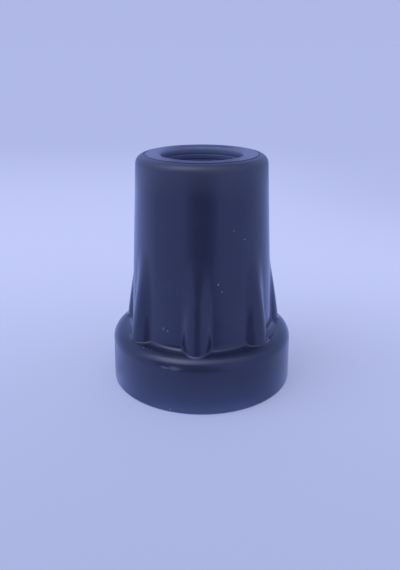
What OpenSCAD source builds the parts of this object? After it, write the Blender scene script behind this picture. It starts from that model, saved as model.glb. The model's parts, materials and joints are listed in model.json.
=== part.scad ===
// Push-on rubber tip for the foot of a walking cane, moulded in one piece.
// The origin is the middle of the sole and the bore opens upwards along +Z.

/* [Tube] */
// Outer diameter of the tube that the tip is pushed onto
tube_d = 19; // [17:0.5:20.5]
// Gap on the diameter between the tube and the bore, none for a push fit
bore_gap = 0; // [0:0.05:0.4]
// Thickness of solid rubber between the ground and the end of the tube
sole_t = 12; // [8:0.5:14]
// Rounding of the mouth where the tube enters
lip_r = 0.9; // [0.4:0.1:1.5]

/* [Grip rings] */
// Number of grip grooves inside the mouth
grip_n = 6; // [2:1:10]
// Depth of the first groove below the top face
grip_start = 1.8; // [1.8:0.1:4]
// Spacing of the grooves along the bore
grip_pitch = 1.2; // [1:0.1:2]
// Radius of each half-round groove
grip_r = 0.2; // [0.15:0.05:0.4]

/* [Body] */
// Overall height of the tip
height = 56.2; // [50:0.1:62]
// Diameter of the body where it leaves the shoulder
body_low_d = 35; // [33:0.1:36]
// Diameter of the body at the top, measured to the sharp corner
body_top_d = 30.7; // [29:0.1:32]
// Rounding of the top outer edge
top_r = 2.1; // [1:0.1:2.6]
// Radius of the fine parting groove round the top face
seam_r = 0.2; // [0.1:0.05:0.3]
// Height by which the top face stands above the rounded edge at the parting groove
seam_h = 0.1; // [0.05:0.05:0.3]

/* [Foot] */
// Diameter of the foot at the ground
foot_d = 45; // [43:0.5:48]
// Inward draft of the foot wall, on the radius
wall_draft = 0.2; // [0:0.05:0.5]
// Height of the foot wall up to the shoulder
wall_h = 10.7; // [8:0.1:13]
// Radius of the quarter-round shoulder
shoulder_r = 3; // [2.5:0.1:4.2]
// Fillet in the valley between body and shoulder
valley_r = 1.4; // [0.4:0.1:2]
// Rounding of the edge that meets the ground
ground_r = 0.5; // [0.2:0.1:1]

/* [Ribs] */
// Number of ribs round the body
rib_n = 7; // [5:1:8]
// Radius of each rib's round ridge
rib_r = 3.3; // [2.6:0.1:3.6]
// Diameter over the rib ridges at the shoulder
rib_foot_d = 40; // [38.5:0.1:41]
// Height above the shoulder at which the ridge runs out into the body
rib_h = 18.3; // [13:0.1:22]
// Outward bow of the ridge line between its foot and its run-out
rib_bow = 0.2; // [0.1:0.05:0.5]
// Turn of the first rib away from the front
rib_turn = -3.9; // [-25:0.1:25]

/* [Tread] */
// Number of ring grooves in the sole
tread_n = 3; // [1:1:4]
// Middle radius of the innermost ring groove
tread_start = 6; // [4:0.5:7]
// Spacing of the ring grooves
tread_pitch = 4.8; // [4:0.1:5]
// Width of each ring groove
tread_w = 2; // [1:0.1:2.6]
// Depth of each ring groove
tread_h = 1.4; // [0.5:0.1:2]

/* [Hidden] */
$fn = 96;

bore_r = (tube_d + bore_gap) / 2;
foot_r = foot_d / 2;
wall_top_r = foot_r - wall_draft;
shoulder_z = wall_h + shoulder_r;
shoulder_mid_r = wall_top_r - shoulder_r;

// The body is a cone whose side leans inwards by body_lean
body_low_r = body_low_d / 2;
body_top_r = body_top_d / 2;
body_slope = (body_low_r - body_top_r) / (height - shoulder_z);
body_lean = atan(body_slope);
function body_r(z) = body_low_r - body_slope * (z - shoulder_z);

// Middle of the top rounding, tangent to the side and ending level at the parting groove
seam_z = height - seam_h;
top_mid_z = seam_z - top_r;
top_mid_r = body_r(top_mid_z) - top_r / cos(body_lean);

// Middle of the valley fillet, tangent to the side and to the shoulder's arc or flat top
function valley_mid_r(z) = body_r(z) + valley_r / cos(body_lean);
function valley_out(z) = max(0, valley_mid_r(z) - shoulder_mid_r);
function valley_mid_z(n, z) =
    n == 0 ? z
    : valley_mid_z(n - 1, wall_h + sqrt(pow(shoulder_r + valley_r, 2) - pow(valley_out(z), 2)));
valley_steps = 12;
valley_z = valley_mid_z(valley_steps, shoulder_z + valley_r);
valley_x = valley_mid_r(valley_z);

// The ridge line of a rib is an arc from the shoulder to its run-out on the body
rib_foot_r = rib_foot_d / 2;
rib_tip_z = shoulder_z + rib_h;
rib_tip_r = body_r(rib_tip_z);
rib_lean = atan((rib_foot_r - rib_tip_r) / rib_h);
rib_chord = rib_h / cos(rib_lean);
bow_r = pow(rib_chord, 2) / (8 * rib_bow) + rib_bow / 2;
bow_mid_r = (rib_foot_r + rib_tip_r) / 2 - (bow_r - rib_bow) * cos(rib_lean);
bow_mid_z = (shoulder_z + rib_tip_z) / 2 - (bow_r - rib_bow) * sin(rib_lean);

// Angles of the arc about its middle, with the lengths by which its ends are buried
half_turn = asin(rib_chord / 2 / bow_r);
rib_bury_low = shoulder_r;
rib_bury_top = 5;
function arc_angle(length) = length / bow_r * 180 / PI;
bow_from = rib_lean - half_turn - arc_angle(rib_bury_low);
bow_to = rib_lean + half_turn + arc_angle(rib_bury_top);

// A margin by which a cutting shape passes the face that it opens
past = 1;

// Drafted wall with its ground edge rounded
module wall_section() {
    ground_mid = foot_r - ground_r;
    difference() {
        polygon([[0, 0], [foot_r, 0], [wall_top_r, wall_h], [0, wall_h]]);
        translate([ground_mid, 0]) square([ground_r + past, ground_r]);
    }
    translate([ground_mid, ground_r]) circle(ground_r);
}

// Quarter-round shoulder on top of the wall
module shoulder_section() {
    translate([0, wall_h]) square([shoulder_mid_r, shoulder_r]);
    intersection() {
        translate([shoulder_mid_r, wall_h]) circle(shoulder_r);
        translate([0, wall_h]) square([foot_r, shoulder_r]);
    }
}

// Leaning side of the body, with the top outer edge rounded
module body_section() {
    lean_r = body_r(top_mid_z + top_r * sin(body_lean));
    polygon([
        [0, wall_h],
        [body_r(wall_h), wall_h],
        [lean_r, top_mid_z + top_r * sin(body_lean)],
        [top_mid_r, top_mid_z],
        [top_mid_r, seam_z],
        [top_mid_r - seam_r, seam_z],
        [top_mid_r - seam_r, height],
        [0, height]
    ]);
    translate([top_mid_r, top_mid_z]) circle(top_r);
}

// Rubber that fills the valley up to the fillet's arc
module valley_section() {
    side = [body_r(valley_z), valley_z];
    seat_mid_r = min(valley_x, shoulder_mid_r);
    arc_turn = atan2(valley_z - wall_h, valley_out(valley_z));
    seat = [seat_mid_r + shoulder_r * cos(arc_turn), wall_h + shoulder_r * sin(arc_turn)];
    difference() {
        polygon([side, [valley_x, valley_z], seat, [0, wall_h]]);
        translate([valley_x, valley_z]) circle(valley_r);
    }
}

// Bore with its rounded mouth, kept to the right of the axis
module bore_section() {
    bore_h = height - sole_t;
    mouth_r = bore_r + lip_r;
    translate([0, sole_t]) square([bore_r, bore_h + past]);
    difference() {
        translate([0, height - lip_r]) square([mouth_r, lip_r + past]);
        translate([mouth_r, height - lip_r]) circle(lip_r);
    }
    for (i = [0 : grip_n - 1])
        translate([bore_r, height - grip_start - i * grip_pitch]) circle(grip_r);
}

// Ring grooves of the sole
module tread_section() {
    for (i = [0 : tread_n - 1])
        translate([tread_start + i * tread_pitch - tread_w / 2, -past])
            square([tread_w, tread_h + past]);
}

// Fine groove where the top rounding ends at the foot of the top face
module seam_section() {
    translate([top_mid_r, seam_z]) circle(seam_r);
}

// One leaning round ridge, bowed in its own upright plane, its ends buried in the foot and in the body
module rib() {
    translate([bow_mid_r, 0, bow_mid_z])
        rotate([90, 0, 0])
            rotate([0, 0, bow_from])
                rotate_extrude(angle = bow_to - bow_from)
                    translate([bow_r - rib_r, 0]) circle(rib_r);
}

module ribs() {
    front = -90 + rib_turn;
    for (i = [0 : rib_n - 1])
        rotate([0, 0, front + i * 360 / rib_n]) rib();
}

module cane_tip() {
    color([0.16, 0.18, 0.28])
    difference() {
        union() {
            rotate_extrude() {
                wall_section();
                shoulder_section();
                body_section();
                valley_section();
            }
            ribs();
        }
        rotate_extrude() {
            bore_section();
            tread_section();
            seam_section();
        }
    }
}

cane_tip();
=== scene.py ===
import bpy
import json
import math
import numpy as np
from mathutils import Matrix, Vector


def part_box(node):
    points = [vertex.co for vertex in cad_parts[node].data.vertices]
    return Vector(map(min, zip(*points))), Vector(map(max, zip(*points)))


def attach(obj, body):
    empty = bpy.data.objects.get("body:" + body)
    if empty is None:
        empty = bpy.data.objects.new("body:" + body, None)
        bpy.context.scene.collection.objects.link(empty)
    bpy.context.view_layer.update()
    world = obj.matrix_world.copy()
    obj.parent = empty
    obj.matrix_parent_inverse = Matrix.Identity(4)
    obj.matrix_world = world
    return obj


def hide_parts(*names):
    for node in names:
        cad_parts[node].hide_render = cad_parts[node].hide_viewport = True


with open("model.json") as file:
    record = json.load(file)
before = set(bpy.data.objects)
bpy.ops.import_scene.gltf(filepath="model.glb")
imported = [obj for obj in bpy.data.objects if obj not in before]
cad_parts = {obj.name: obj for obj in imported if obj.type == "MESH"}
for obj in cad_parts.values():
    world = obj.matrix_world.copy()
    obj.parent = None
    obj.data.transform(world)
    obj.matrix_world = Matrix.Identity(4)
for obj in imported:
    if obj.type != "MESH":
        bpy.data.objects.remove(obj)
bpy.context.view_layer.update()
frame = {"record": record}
mm = 0.001
print("frame loaded")


def opaque(tone):  # a colour of three parts with its alpha
    return list(tone) + [1.0]


def colour(red, green, blue):  # a picture's 0 to 255 values as a linear colour
    parts = [channel / 255 for channel in (red, green, blue)]
    return [p / 12.92 if p <= 0.04045 else ((p + 0.055) / 1.055) ** 2.4 for p in parts]


class Wire:  # one output socket, with Python's operators adding Math nodes
    def __init__(self, socket):
        self.socket = socket

    @staticmethod
    def add(tree, kind, settings=None, sockets=None, out=0):  # any node: settings first, then sockets
        node = tree.nodes.new(kind)
        for name, value in (settings or {}).items():
            if name == "stops":  # of a colour ramp: place and colour
                stops = node.color_ramp.elements
                for spot, tone in value:
                    stops.new(spot).color = opaque(tone)
                stops.remove(stops[0])
                stops.remove(stops[-1])
            else:
                setattr(node, name, value)
        for name, value in (sockets or {}).items():
            if isinstance(value, Wire):
                tree.links.new(value.socket, node.inputs[name])
            else:
                node.inputs[name].default_value = value
        return Wire(node.outputs[out])

    def maths(self, operation, first, second=0.0):
        tree = self.socket.id_data
        return Wire.add(tree, "ShaderNodeMath", {"operation": operation}, {0: first, 1: second})

    def __add__(self, other):
        return self.maths("ADD", self, other)

    def __sub__(self, other):
        return self.maths("SUBTRACT", self, other)

    def __rsub__(self, other):
        return self.maths("SUBTRACT", other, self)

    def __mul__(self, other):
        return self.maths("MULTIPLY", self, other)

    def __pow__(self, other):
        return self.maths("POWER", self, other)

    def __abs__(self):
        return self.maths("ABSOLUTE", self)

    __radd__ = __add__
    __rmul__ = __mul__

    def rise(self, low, high):  # 0 below low, 1 above high, smooth between
        settings = {"interpolation_type": "SMOOTHSTEP"}
        sockets = {"Value": self, "From Min": low, "From Max": high}
        return Wire.add(self.socket.id_data, "ShaderNodeMapRange", settings, sockets)

    def mixed(self, first, second):  # self is the share of the second colour
        ends = [tone if isinstance(tone, Wire) else opaque(tone) for tone in (first, second)]
        sockets = {0: self, 6: ends[0], 7: ends[1]}
        return Wire.add(self.socket.id_data, "ShaderNodeMix", {"data_type": "RGBA"}, sockets, 2)


def nodeOf(tree, kind):  # a node that Blender put there
    return next(node for node in tree.nodes if node.type == kind)


def newMaterial(name):
    material = bpy.data.materials.new(name)
    material.use_nodes = True
    tree = material.node_tree
    place = Wire.add(tree, "ShaderNodeTexCoord", out="Object")
    return material, tree, place


def split(tree, vector, axes):
    return [Wire.add(tree, "ShaderNodeSeparateXYZ", None, {0: vector}, axis) for axis in axes]


# The moulded tip, lengths in millimetres and angles in degrees
tip = {
    "wallDraft": 0.2, "wallHeight": 10.7, "shoulder": 3.0, "groundEdge": 0.5,
    "bodyLow": 17.5, "bodyTop": 15.35, "topEdge": 2.1, "topEdgeEnd": 86.0,
    "seam": 0.2, "seamStep": 0.1, "lip": 0.9, "soleThickness": 12.0,
    "grips": 6, "gripStart": 1.8, "gripPitch": 1.2, "grip": 0.2,
    "ribs": 7, "rib": 3.3, "ribFoot": 20.0, "ribRise": 18.3, "ribBow": 0.2, "ribTurn": -3.9,
    "treads": 3, "treadStart": 6.0, "treadPitch": 4.8, "treadWidth": 2.0, "treadDepth": 1.4,
    "ribCrease": 0.55, "tipCrease": 1.0, "valleyCrease": 1.65,  # widths of the soft creases
    "hub": 0.6,  # radius of the small fans that close the sole and the bore's end
    "rayStart": 11.0, "rayReach": 14.0, "rayHalvings": 40,  # rays that find the skin
    "levelRise": 14.0, "levelPower": 1.5,  # how soon above the shoulder the rays run level
    "ribZone": 24.0,  # height of the closely spaced rows above the shoulder
    "columns": 64,  # for each rib
    "rows": {"sole": 2, "groundEdge": 5, "wall": 8, "fan": 33, "ribs": 67, "plain": 8, "topEdge": 11,
             "seam": 6, "ring": 3, "lip": 7, "grip": 5, "bore": 3},
    "sharpAngle": 50.0,
}


def eased(share):  # steps that are short at both ends, so that shading stays even beside a round edge
    return share - np.sin(2 * math.pi * share) / (2 * math.pi)


def lineRun(start, end, steps, ease=False):  # points from start towards end, end left to the next run
    share = np.arange(steps)[:, None] / steps
    share = eased(share) if ease else share
    return np.array(start) + share * (np.array(end) - np.array(start))


def arcRun(middle, radius, start, end, steps):
    angle = np.radians(start + (end - start) * np.arange(steps) / steps)
    return np.array(middle) + radius * np.stack([np.cos(angle), np.sin(angle)], 1)


def softUnion(first, second, width):  # joins two distance fields with a small fillet
    share = np.clip(0.5 + 0.5 * (second - first) / width, 0, 1)
    return second + (first - second) * share - width * share * (1 - share)


class TipForm:
    def __init__(self, sizes):
        low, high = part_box("cane_tip")
        mounts = {mount["name"]: mount for mount in frame["record"]["mounts"]}
        self.s = sizes
        self.height = high[2] / mm
        self.foot = (high[0] - low[0]) / 2 / mm
        self.bore = mounts["tube_bore"]["dims"]["r_mm"]
        self.wallTop = self.foot - sizes["wallDraft"]
        self.shoulderMid = self.wallTop - sizes["shoulder"]
        self.shoulderTop = sizes["wallHeight"] + sizes["shoulder"]
        self.slope = (sizes["bodyLow"] - sizes["bodyTop"]) / (self.height - self.shoulderTop)
        self.lean = math.atan(self.slope)
        self.seamZ = self.height - sizes["seamStep"]
        self.topMidZ = self.seamZ - sizes["topEdge"]
        self.topMid = self.bodyAt(self.topMidZ) - sizes["topEdge"] / math.cos(self.lean)
        tipZ = self.shoulderTop + sizes["ribRise"]
        tipR = self.bodyAt(tipZ)
        ribLean = math.atan((sizes["ribFoot"] - tipR) / sizes["ribRise"])
        chord = sizes["ribRise"] / math.cos(ribLean)
        self.bow = chord ** 2 / (8 * sizes["ribBow"]) + sizes["ribBow"] / 2
        inward = self.bow - sizes["ribBow"]
        self.bowMid = (sizes["ribFoot"] + tipR) / 2 - inward * math.cos(ribLean)
        self.bowMidZ = (self.shoulderTop + tipZ) / 2 - inward * math.sin(ribLean)

    def bodyAt(self, z):
        return self.s["bodyLow"] - self.slope * (z - self.shoulderTop)

    def outside(self, r, z, turn):  # distance from the skin, below zero inside the rubber
        s = self.s
        body = (r - self.bodyAt(z)) * math.cos(self.lean)
        inPlane = np.hypot(r * np.cos(turn) - self.bowMid, z - self.bowMidZ) - (self.bow - s["rib"])
        rib = np.hypot(inPlane, r * np.sin(turn)) - s["rib"]
        past = np.maximum(r - self.shoulderMid, 0)
        shoulder = np.hypot(past, z - s["wallHeight"]) - s["shoulder"]
        share = np.clip((z - self.shoulderTop) / s["ribRise"], 0, 1)
        crease = s["ribCrease"] + (s["tipCrease"] - s["ribCrease"]) * share  # softer towards the tip
        return softUnion(softUnion(body, shoulder, s["valleyCrease"]), rib, crease)

    def skin(self, turn):  # rays that fan out from inside the rubber, each stopped at the skin
        s, rows = self.s, self.s["rows"]
        start = s["rayStart"]
        inside = s["bodyLow"] - start
        valley = math.degrees(math.atan2(self.shoulderTop - s["wallHeight"], inside))
        fan = np.linspace(0, valley, rows["fan"] + 1)[1:]
        ribZ = np.linspace(self.shoulderTop, self.shoulderTop + s["ribZone"], rows["ribs"] + 1)[1:]
        sideTop = self.topMidZ + s["topEdge"] * math.sin(self.lean)
        plainShare = eased(np.linspace(0, 1, rows["plain"] + 1)[1:])
        bodyZ = np.concatenate([ribZ, ribZ[-1] + (sideTop - ribZ[-1]) * plainShare])
        level = np.clip(1 - (bodyZ - self.shoulderTop) / s["levelRise"], 0, 1) ** s["levelPower"]
        tilt = np.radians(np.concatenate([fan, valley * level]))
        lift = np.tan(tilt) * inside
        startZ = np.concatenate([np.full(len(fan), s["wallHeight"]), bodyZ - lift[len(fan):]])
        near = np.zeros((len(tilt), len(turn)))
        far = np.full((len(tilt), len(turn)), s["rayReach"])
        for halving in range(s["rayHalvings"]):
            middle = (near + far) / 2
            r = start + middle * np.cos(tilt)[:, None]
            z = startZ[:, None] + middle * np.sin(tilt)[:, None]
            within = self.outside(r, z, turn[None, :]) < 0
            near = np.where(within, middle, near)
            far = np.where(within, far, middle)
        return start + near * np.cos(tilt)[:, None], startZ[:, None] + near * np.sin(tilt)[:, None]

    def below(self):  # sole with its ring grooves, ground edge and wall
        s, rows = self.s, self.s["rows"]
        runs = []
        last = (s["hub"], 0.0)
        for groove in range(s["treads"]):
            inner = s["treadStart"] + groove * s["treadPitch"] - s["treadWidth"] / 2
            outer = inner + s["treadWidth"]
            corners = [(inner, 0), (inner, s["treadDepth"]), (outer, s["treadDepth"]), (outer, 0)]
            runs += [lineRun(last, corners[0], rows["sole"])]
            runs += [lineRun(corner, after, 1) for corner, after in zip(corners, corners[1:])]
            last = (outer, 0.0)
        edge = s["groundEdge"]
        wallEnd = (self.wallTop, s["wallHeight"])
        runs += [lineRun(last, (self.foot - edge, 0), rows["sole"])]
        runs += [arcRun((self.foot - edge, edge), edge, -90, 0, rows["groundEdge"])]
        runs += [lineRun((self.foot, edge), wallEnd, rows["wall"], True)]
        return np.concatenate(runs + [np.array([wallEnd])])

    def above(self):  # top edge, seam, flat ring, lip, grip rings and bore
        s, rows = self.s, self.s["rows"]
        seam, lip, grip = s["seam"], s["lip"], s["grip"]
        ringEdge = self.topMid - seam
        lipMid = (self.bore + lip, self.height - lip)
        boreEnd = (s["hub"], s["soleThickness"])
        sideAngle = math.degrees(self.lean)
        topMid = (self.topMid, self.topMidZ)
        runs = [arcRun(topMid, s["topEdge"], sideAngle, s["topEdgeEnd"], rows["topEdge"])[1:]]
        runs += [arcRun((self.topMid, self.seamZ), seam, 0, -180, rows["seam"])]
        runs += [lineRun((ringEdge, self.seamZ), (ringEdge, self.height), 1)]
        runs += [lineRun((ringEdge, self.height), (self.bore + lip, self.height), rows["ring"])]
        runs += [arcRun(lipMid, lip, 90, 180, rows["lip"])]
        last = self.height - lip
        for ring in range(s["grips"]):
            z = self.height - s["gripStart"] - ring * s["gripPitch"]
            runs += [lineRun((self.bore, last), (self.bore, z + grip), 1)]
            runs += [arcRun((self.bore, z), grip, 90, -90, rows["grip"])]
            last = z - grip
        runs += [lineRun((self.bore, last), (self.bore, s["soleThickness"]), rows["bore"])]
        runs += [lineRun((self.bore, s["soleThickness"]), boreEnd, rows["bore"])]
        return np.concatenate(runs + [np.array([boreEnd])])


form = TipForm(tip)


def buildTip():
    perRib, ribs = tip["columns"], tip["ribs"]
    pitch = 2 * math.pi / ribs
    turn = (np.arange(perRib) / perRib - 0.5) * pitch
    skinR, skinZ = form.skin(turn)
    below, above = [np.repeat(run[:, :, None], perRib, 2) for run in (form.below(), form.above())]
    r = np.concatenate([below[:, 0], skinR, above[:, 0]])
    z = np.concatenate([below[:, 1], skinZ, above[:, 1]])
    front = math.radians(-90 + tip["ribTurn"])
    angle = np.concatenate([turn + rib * pitch for rib in range(ribs)]) + front
    r, z = np.tile(r, (1, ribs)), np.tile(z, (1, ribs))
    rows, columns = r.shape
    grid = np.stack([r * np.cos(angle), r * np.sin(angle), z], 2).reshape(-1, 3) * mm
    ends = np.array([(0, 0, 0), (0, 0, tip["soleThickness"] * mm)])
    spots = np.arange(rows * columns).reshape(rows, columns)
    nextSpots = np.roll(spots, -1, 1)
    quads = np.stack([spots[:-1], nextSpots[:-1], nextSpots[1:], spots[1:]], 2).reshape(-1, 4)
    soleEnd, boreEnd = rows * columns, rows * columns + 1
    faces = quads.tolist()
    faces += [(soleEnd, b, a) for a, b in zip(spots[0].tolist(), nextSpots[0].tolist())]
    faces += [(boreEnd, a, b) for a, b in zip(spots[-1].tolist(), nextSpots[-1].tolist())]
    mesh = bpy.data.meshes.new("rubberTip")
    mesh.from_pydata(np.concatenate([grid, ends]).tolist(), [], faces)
    mesh.update()
    mesh.shade_smooth()
    mesh.set_sharp_from_angle(angle=math.radians(tip["sharpAngle"]))
    piece = bpy.data.objects.new("rubber_tip", mesh)
    bpy.context.scene.collection.objects.link(piece)
    print("rubber tip:", len(faces), "faces")
    return piece


# The finish of the black rubber, lengths in millimetres
rubber = {
    "colour": (0.0105, 0.0140, 0.046), "pale": (0.0130, 0.0170, 0.053), "cloudEdge": (0.35, 0.70),
    "cloud": {"Scale": 130.0, "Detail": 3.0}, "grain": {"Scale": 4200.0, "Detail": 2.0},
    "roughness": 0.25, "roughnessSpread": 0.05, "grainStrength": 0.03, "grainDepth": 0.02,
    "refraction": 1.5,
    "rimColour": (0.026, 0.032, 0.070), "rimRoughness": 0.42,
    "faceColour": (0.030, 0.038, 0.090), "faceRoughness": 0.60,
    "lipColour": (0.008, 0.011, 0.036), "lipRoughness": 0.60,  # painted shade: the lip darker, as the front of the mouth gets little light
    "bloomColour": (0.080, 0.104, 0.245), "bloomRoughness": 0.60,  # painted light: the back of the mouth paler, where light falls on it
    "sideColour": (0.100, 0.122, 0.260), "sideRoughness": 0.60,  # painted light: the flat ring paler left and right, where it shows the bright room
    "wallColour": (0.018, 0.029, 0.085),
    "boreColour": (0.060, 0.085, 0.255), "boreRoughness": 0.65,
    # gripColour is painted light: the grip grooves paler, thinning the shade in them
    "gripColour": (0.100, 0.130, 0.310), "deepColour": (0.022, 0.034, 0.125),
    "soleColour": (0.024, 0.027, 0.045), "soleRoughness": 0.75,
    # seamColour is painted shade in the seam groove; seamSideColour is painted light, the seam paler
    # left and right
    "seamColour": (0.003, 0.004, 0.014), "seamRoughness": 0.85, "seamSideColour": (0.105, 0.128, 0.270),
    "smearColour": (0.062, 0.076, 0.120), "smearShare": 0.75,
    "dustColour": (0.30, 0.33, 0.42), "dustShare": 0.60, "spotEdge": (0.35, 1.0),
    "mouthTop": (1.6, 1.1), "deepTop": (3.8, 1.9), "rimTop": (8.7, 0.7),  # depths below the top face
    "seamTop": (0.6, 0.4), "sideTop": (0.7, 0.3), "faceTop": (0.25, 0.05),
    "boreEdge": (0.3, 0.4), "gripEdge": (0.0, 0.12), "lipEdge": (0.4, 0.8),  # outwards from the bore
    "outsideEdge": (1.0, 2.0),
    "ringEdge": (-0.4, -0.2), "seamEdge": (0.15, 0.24),  # outwards from the seam
    "wallEdge": (-2.0, -1.0),  # outwards from the foot's own radius
    "wallTop": (0.0, 10.0), "soleTop": (0.1, 0.7),  # heights
    "backFrom": (-7.0, 5.0), "sideFrom": (5.0, 11.5),  # towards the back, and to either side
    "dust": [  # azimuth from the front in degrees, height, half width, half height
        (12.6, 29.8, 0.22, 0.28), (15.6, 28.0, 0.17, 0.18), (-27.1, 18.0, 0.20, 0.24),
        (25.5, 41.7, 0.15, 0.17), (35.6, 39.4, 0.42, 0.10), (-42.5, 13.56, 0.17, 0.05),
        (-39.2, 13.60, 0.14, 0.04), (-36.0, 13.63, 0.13, 0.03), (-19.0, 0.9, 0.20, 0.20),
        (84.0, 36.0, 0.17, 0.17), (112.0, 24.0, 0.20, 0.20), (160.0, 44.0, 0.18, 0.18),
        (171.0, 21.0, 0.20, 0.20), (-118.0, 39.0, 0.18, 0.18), (-150.0, 27.5, 0.17, 0.17),
        (-95.0, 6.0, 0.20, 0.20), (140.0, 7.5, 0.18, 0.18),
    ],
    # paler patches on the outside, each given as azimuth, height, half width and half height
    "smears": [
        (-16.6, 11.5, 2.0, 0.60), (-22.5, 11.35, 1.3, 0.40), (-31.0, 18.3, 0.5, 0.6),
        (125.0, 33.0, 1.6, 0.5),
    ],
}


def finishRubber():
    material, tree, place = newMaterial("blackRubber")
    shader = nodeOf(tree, "BSDF_PRINCIPLED")
    x, y, z = [part * (1 / mm) for part in split(tree, place, range(3))]
    radius = (x * x + y * y) ** 0.5
    turn = x.maths("ARCTAN2", x, 0 - y)  # nought at the front
    cloud = Wire.add(tree, "ShaderNodeTexNoise", None, {"Vector": place, **rubber["cloud"]})
    grain = Wire.add(tree, "ShaderNodeTexNoise", None, {"Vector": place, **rubber["grain"]})

    def above(name):  # from a depth below the top face upwards
        low, high = rubber[name]
        return z.rise(form.height - low, form.height - high)

    def beyond(start, name):  # outwards from a radius
        low, high = rubber[name]
        return radius.rise(start + low, start + high)

    def marks(name):  # soft spots on the outside
        shares = []
        for azimuth, height, halfWide, halfTall in rubber[name]:
            across = (turn - math.radians(azimuth)) * radius * (1 / halfWide)
            up = (z - height) * (1 / halfTall)
            shares.append(1 - ((across * across + up * up) ** 0.5).rise(*rubber["spotEdge"]))
        return sum(shares) * beyond(form.bore, "outsideEdge")

    inBore = (1 - beyond(form.bore, "boreEdge")) * (1 - above("mouthTop"))
    inGrip = inBore * beyond(form.bore, "gripEdge")
    inDeep = inBore * (1 - above("deepTop"))
    onLip = above("mouthTop") * (1 - beyond(form.bore, "lipEdge"))
    # atBack and atSide mark where painted light makes the mouth and the flat ring paler
    atBack = y.rise(*rubber["backFrom"])
    atSide = abs(x).rise(*rubber["sideFrom"])
    inSeam = (1 - abs(radius - form.topMid).rise(*rubber["seamEdge"])) * above("seamTop")
    inRing = 1 - beyond(form.topMid, "ringEdge")
    onFace = above("faceTop") * inRing
    onSides = above("sideTop") * inRing * atSide
    onWall = (1 - z.rise(*rubber["wallTop"])) * beyond(form.foot, "wallEdge")
    onSole = 1 - z.rise(*rubber["soleTop"])
    smear = marks("smears") * rubber["smearShare"]
    dust = marks("dust") * rubber["dustShare"]

    # lip, bloom, side, seamSide and grip are painted light and shade; seam is painted shade in its
    # groove
    layers = [
        (above("rimTop"), "rim"), (onFace, "face"), (onLip, "lip"), (onLip * atBack, "bloom"),
        (onSides, "side"), (onWall, "wall"), (inBore, "bore"), (inGrip, "grip"), (inDeep, "deep"),
        (onSole, "sole"), (inSeam, "seam"), (inSeam * atSide, "seamSide"),
        (smear, "smear"), (dust, "dust"),
    ]
    base = cloud.rise(*rubber["cloudEdge"]).mixed(rubber["colour"], rubber["pale"])
    rough = rubber["roughness"] + (cloud - 0.5) * rubber["roughnessSpread"]
    for mask, name in layers:
        base = mask.mixed(base, rubber[name + "Colour"])
        if name + "Roughness" in rubber:
            rough = rough + mask * (rubber[name + "Roughness"] - rough)
    depth = {"Strength": rubber["grainStrength"], "Distance": rubber["grainDepth"] * mm}
    bump = Wire.add(tree, "ShaderNodeBump", None, {"Height": grain, **depth}, "Normal")
    for name, value in {"Base Color": base, "Roughness": rough, "Normal": bump}.items():
        tree.links.new(value.socket, shader.inputs[name])
    shader.inputs["IOR"].default_value = rubber["refraction"]
    print("rubber finished")
    return material


# Floor, surroundings and light, lengths in millimetres
studio = {
    "floorHalf": 20000.0,
    # painted light and shade on the floor: floorMiddle is a brighter band between floorNear and floorFar
    "floorNear": colour(170, 180, 225), "floorMiddle": colour(193, 202, 248),
    "floorFar": colour(175, 184, 231),
    "middleFrom": (-100, 100), "farFrom": (100, 440), "farRing": (250, 700),
    "fadeAcross": (10, 120), "fadeBack": (40, 220), "fadeShare": 0.7,  # painted shade: darker behind, on the right
    "shadowLift": 0.45,  # share by which the floor's shadow is paler
    # Painted reflections: tones that the floor glows with for glossy rays only, as the rubber shows
    # them, and where they lie
    "glossTone": (0.50, 0.65, 1.45),
    "leftTone": (0.64, 0.82, 1.76), "leftAcross": (-95, -55), "leftBack": (-45, 5),
    "besideTone": (0.55, 0.71, 1.57), "besideRightTone": (0.44, 0.57, 1.28),
    "besideFrom": (8, 24), "besideRing": (30, 60), "rightFrom": (-6, 6),
    "behindTone": (0.44, 0.52, 1.03), "behindAcross": (27, 34),
    "behindFrom": (-8, -2), "behindEnd": (30, 60),
    "frontTone": (0.17, 0.225, 0.46), "frontAcross": (14, 48), "frontEnd": (-62, -36),
    "closeTone": (0.88, 1.13, 2.60), "closeAcross": (9, 18), "closeRing": (23, 29),
    "flagAt": -152.0, "flagSize": (170.0, 80.0), "flagFade": (0.2, 0.5),  # a glowing dark plate before the tip, a painted dark reflection
    # The room as the rubber shows it
    "lowTone": (0.50, 0.65, 1.42),
    "ceilingTone": (0.14, 0.19, 0.44), "ceilingLeftTone": (0.36, 0.46, 1.05),
    "ceilingAcross": (-0.6, 0.2), "ceilingFrom": (0.55, 0.80),
    "darkTone": (0.17, 0.23, 0.56), "darkAhead": (0.2, 0.5),  # a darker patch in front
    "darkFrom": (-0.92, -0.78), "darkEnd": (0.0, 0.3),
    "bar": [  # share across from left to right, colour of the long soft light
        (-0.97, (0.60, 0.75, 1.60)), (-0.70, (1.20, 1.40, 2.50)), (-0.50, (2.80, 3.05, 4.40)),
        (-0.30, (2.90, 3.15, 4.50)), (-0.10, (1.80, 2.05, 3.40)), (0.12, (1.20, 1.40, 2.40)),
        (0.45, (0.70, 0.90, 1.70)), (0.90, (0.50, 0.65, 1.50)),
    ],
    "barAngles": (42.0, 66.0, 82.0, 104.0),  # up from the front: starts, is full, is full, ends
    "plain": 0.80,  # level of the even light
    "sunAt": (-0.62, -0.22, 0.75), "sunBreadth": 50.0, "sunStrength": 0.92,
}


def stagePlate(name, corners, material):
    mesh = bpy.data.meshes.new(name)
    mesh.from_pydata([[value * mm for value in corner] for corner in corners], [], [(0, 1, 2, 3)])
    mesh.materials.append(material)
    plate = bpy.data.objects.new(name, mesh)
    bpy.context.scene.collection.objects.link(plate)
    return plate


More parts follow.
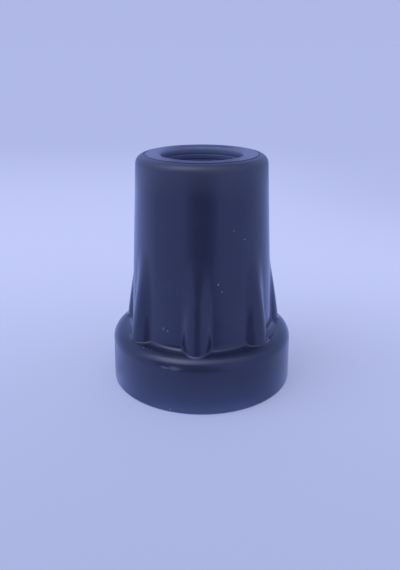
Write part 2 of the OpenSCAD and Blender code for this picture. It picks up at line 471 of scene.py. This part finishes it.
def floorFinish():
    material, tree, place = newMaterial("paleFloor")
    shader = nodeOf(tree, "BSDF_PRINCIPLED")
    x, y = [part * (1 / mm) for part in split(tree, place, (0, 1))]
    aside = abs(x)
    away = (x * x + y * y) ** 0.5

    def past(part, name):  # 0 before a named zone, 1 after it
        return part.rise(*studio[name])

    # painted light and shade: the floor's tone brighter across the middle, darker behind on the right
    near = past(y, "middleFrom").mixed(studio["floorNear"], studio["floorMiddle"])
    tone = past(y, "farFrom").mixed(near, studio["floorFar"])
    fading = past(x, "fadeAcross") * past(y, "fadeBack") * studio["fadeShare"]
    tone = fading.mixed(tone, studio["floorFar"])
    tone = past(away, "farRing").mixed(tone, studio["floorFar"])
    tree.links.new(tone.socket, shader.inputs["Base Color"])
    shader.inputs["Roughness"].default_value = 1.0
    shader.inputs["Specular IOR Level"].default_value = 0.0

    # painted reflections: the floor glows in these tones for glossy rays, frontTone as a dark reflection
    # before the tip, closeTone as a bright one by the foot
    sides = past(x, "rightFrom").mixed(studio["besideTone"], studio["besideRightTone"])
    behind = (1 - past(aside, "behindAcross")) * past(y, "behindFrom") * (1 - past(y, "behindEnd"))
    layers = [
        ((1 - past(x, "leftAcross")) * past(y, "leftBack"), studio["leftTone"]),
        (past(aside, "besideFrom") * (1 - past(away, "besideRing")), sides),
        (behind, studio["behindTone"]),
        ((1 - past(aside, "frontAcross")) * (1 - past(y, "frontEnd")), studio["frontTone"]),
        ((1 - past(away, "closeRing")) * (1 - past(aside, "closeAcross")), studio["closeTone"]),
    ]
    sheen = studio["glossTone"]
    for mask, layer in layers:
        sheen = mask.mixed(sheen, layer)

    seen = Wire.add(tree, "ShaderNodeLightPath", out="Is Camera Ray") * studio["shadowLift"]
    gloss = Wire.add(tree, "ShaderNodeLightPath", out="Is Glossy Ray")
    even = Wire.add(tree, "ShaderNodeEmission", None, {"Color": tone, "Strength": 1.0})
    glow = Wire.add(tree, "ShaderNodeEmission", None, {"Color": sheen, "Strength": 1.0})
    lit = Wire.add(tree, "ShaderNodeMixShader", None, {0: seen, 1: Wire(shader.outputs[0]), 2: even})
    both = Wire.add(tree, "ShaderNodeMixShader", None, {0: gloss, 1: lit, 2: glow})
    tree.links.new(both.socket, nodeOf(tree, "OUTPUT_MATERIAL").inputs["Surface"])
    return material


# the plate glows in frontTone, a painted dark reflection on the rubber
def flagFinish():
    material, tree, place = newMaterial("darkFlag")
    x = split(tree, place, [0])[0] * (1 / mm)
    fade = [studio["flagSize"][0] * share for share in studio["flagFade"]]
    tone = abs(x).rise(*fade).mixed(studio["frontTone"], studio["glossTone"])
    glow = Wire.add(tree, "ShaderNodeEmission", None, {"Color": tone, "Strength": 1.0})
    tree.links.new(glow.socket, nodeOf(tree, "OUTPUT_MATERIAL").inputs["Surface"])
    return material


def buildPlates():
    half = studio["floorHalf"]
    corners = [(-half, -half, 0), (half, -half, 0), (half, half, 0), (-half, half, 0)]
    stagePlate("floor", corners, floorFinish())
    wide, tall = studio["flagSize"]
    at = studio["flagAt"]
    corners = [(-wide / 2, at, 0), (wide / 2, at, 0), (wide / 2, at, tall), (-wide / 2, at, tall)]
    flag = stagePlate("darkFlag", corners, flagFinish())  # painted dark reflection: shows only in the gloss of the rubber
    flag.visible_camera = flag.visible_diffuse = False
    flag.visible_shadow = flag.visible_transmission = False
    print("plates built")


def buildWorld():
    world = bpy.data.worlds.new("surroundings")
    bpy.context.scene.world = world
    world.use_nodes = True
    tree = world.node_tree
    toward = Wire.add(tree, "ShaderNodeTexCoord", out="Generated")
    across, behind, lift = split(tree, toward, range(3))
    ahead = 0 - behind
    ceiling = across.rise(*studio["ceilingAcross"])
    ceiling = ceiling.mixed(studio["ceilingLeftTone"], studio["ceilingTone"])
    around = lift.rise(*studio["ceilingFrom"]).mixed(studio["lowTone"], ceiling)
    dark = ahead.rise(*studio["darkAhead"]) * across.rise(*studio["darkFrom"])
    around = (dark * (1 - across.rise(*studio["darkEnd"]))).mixed(around, studio["darkTone"])
    stops = [(place * 0.5 + 0.5, tone) for place, tone in studio["bar"]]
    ramp = Wire.add(tree, "ShaderNodeValToRGB", {"stops": stops}, {0: across * 0.5 + 0.5})
    angle = lift.maths("ARCTAN2", lift, ahead)
    start, full, fullEnd, end = [math.radians(value) for value in studio["barAngles"]]
    around = (angle.rise(start, full) * (1 - angle.rise(fullEnd, end))).mixed(around, ramp)

    def background(tone, level):
        return Wire.add(tree, "ShaderNodeBackground", None, {"Color": tone, "Strength": level})

    gloss = Wire.add(tree, "ShaderNodeLightPath", out="Is Glossy Ray")
    seen = Wire.add(tree, "ShaderNodeLightPath", out="Is Camera Ray")
    plain = background(opaque((1, 1, 1)), studio["plain"])
    backdrop = background(opaque(studio["floorFar"]), 1.0)
    light = Wire.add(tree, "ShaderNodeMixShader", None, {0: gloss, 1: plain, 2: background(around, 1.0)})
    both = Wire.add(tree, "ShaderNodeMixShader", None, {0: seen, 1: light, 2: backdrop})
    tree.links.new(both.socket, nodeOf(tree, "OUTPUT_WORLD").inputs["Surface"])
    print("surroundings built")


def addSun():
    light = bpy.data.lights.new("softSun", "SUN")
    light.angle = math.radians(studio["sunBreadth"])
    light.energy = studio["sunStrength"]
    sun = bpy.data.objects.new("softSun", light)
    sun.location = studio["sunAt"]
    sun.rotation_mode = "QUATERNION"
    sun.rotation_quaternion = (-sun.location).to_track_quat("-Z", "Y")
    sun.visible_glossy = False  # the long bar of light is what the rubber shows
    bpy.context.scene.collection.objects.link(sun)
    print("sun added")


# The camera, fitted to the outline of the tip, in millimetres and degrees
view = {"place": (-0.43, -145.53, 79.69), "pitch": 21.123, "lens": 39.385, "sensor": 36.0,
        "clip": (10.0, 100000.0)}


def placeCamera():
    data = bpy.data.cameras.new("camera")
    data.sensor_width = view["sensor"]
    data.lens = view["lens"]
    data.clip_start, data.clip_end = [value * mm for value in view["clip"]]
    camera = bpy.data.objects.new("camera", data)
    camera.location = [value * mm for value in view["place"]]
    camera.rotation_euler = (math.radians(90 - view["pitch"]), 0, 0)
    bpy.context.scene.collection.objects.link(camera)
    bpy.context.scene.camera = camera
    print("camera placed")


piece = buildTip()
piece.data.materials.append(finishRubber())
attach(piece, "root")
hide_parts("cane_tip")
buildPlates()
buildWorld()
addSun()
placeCamera()
bpy.context.scene.view_settings.view_transform = "Standard"
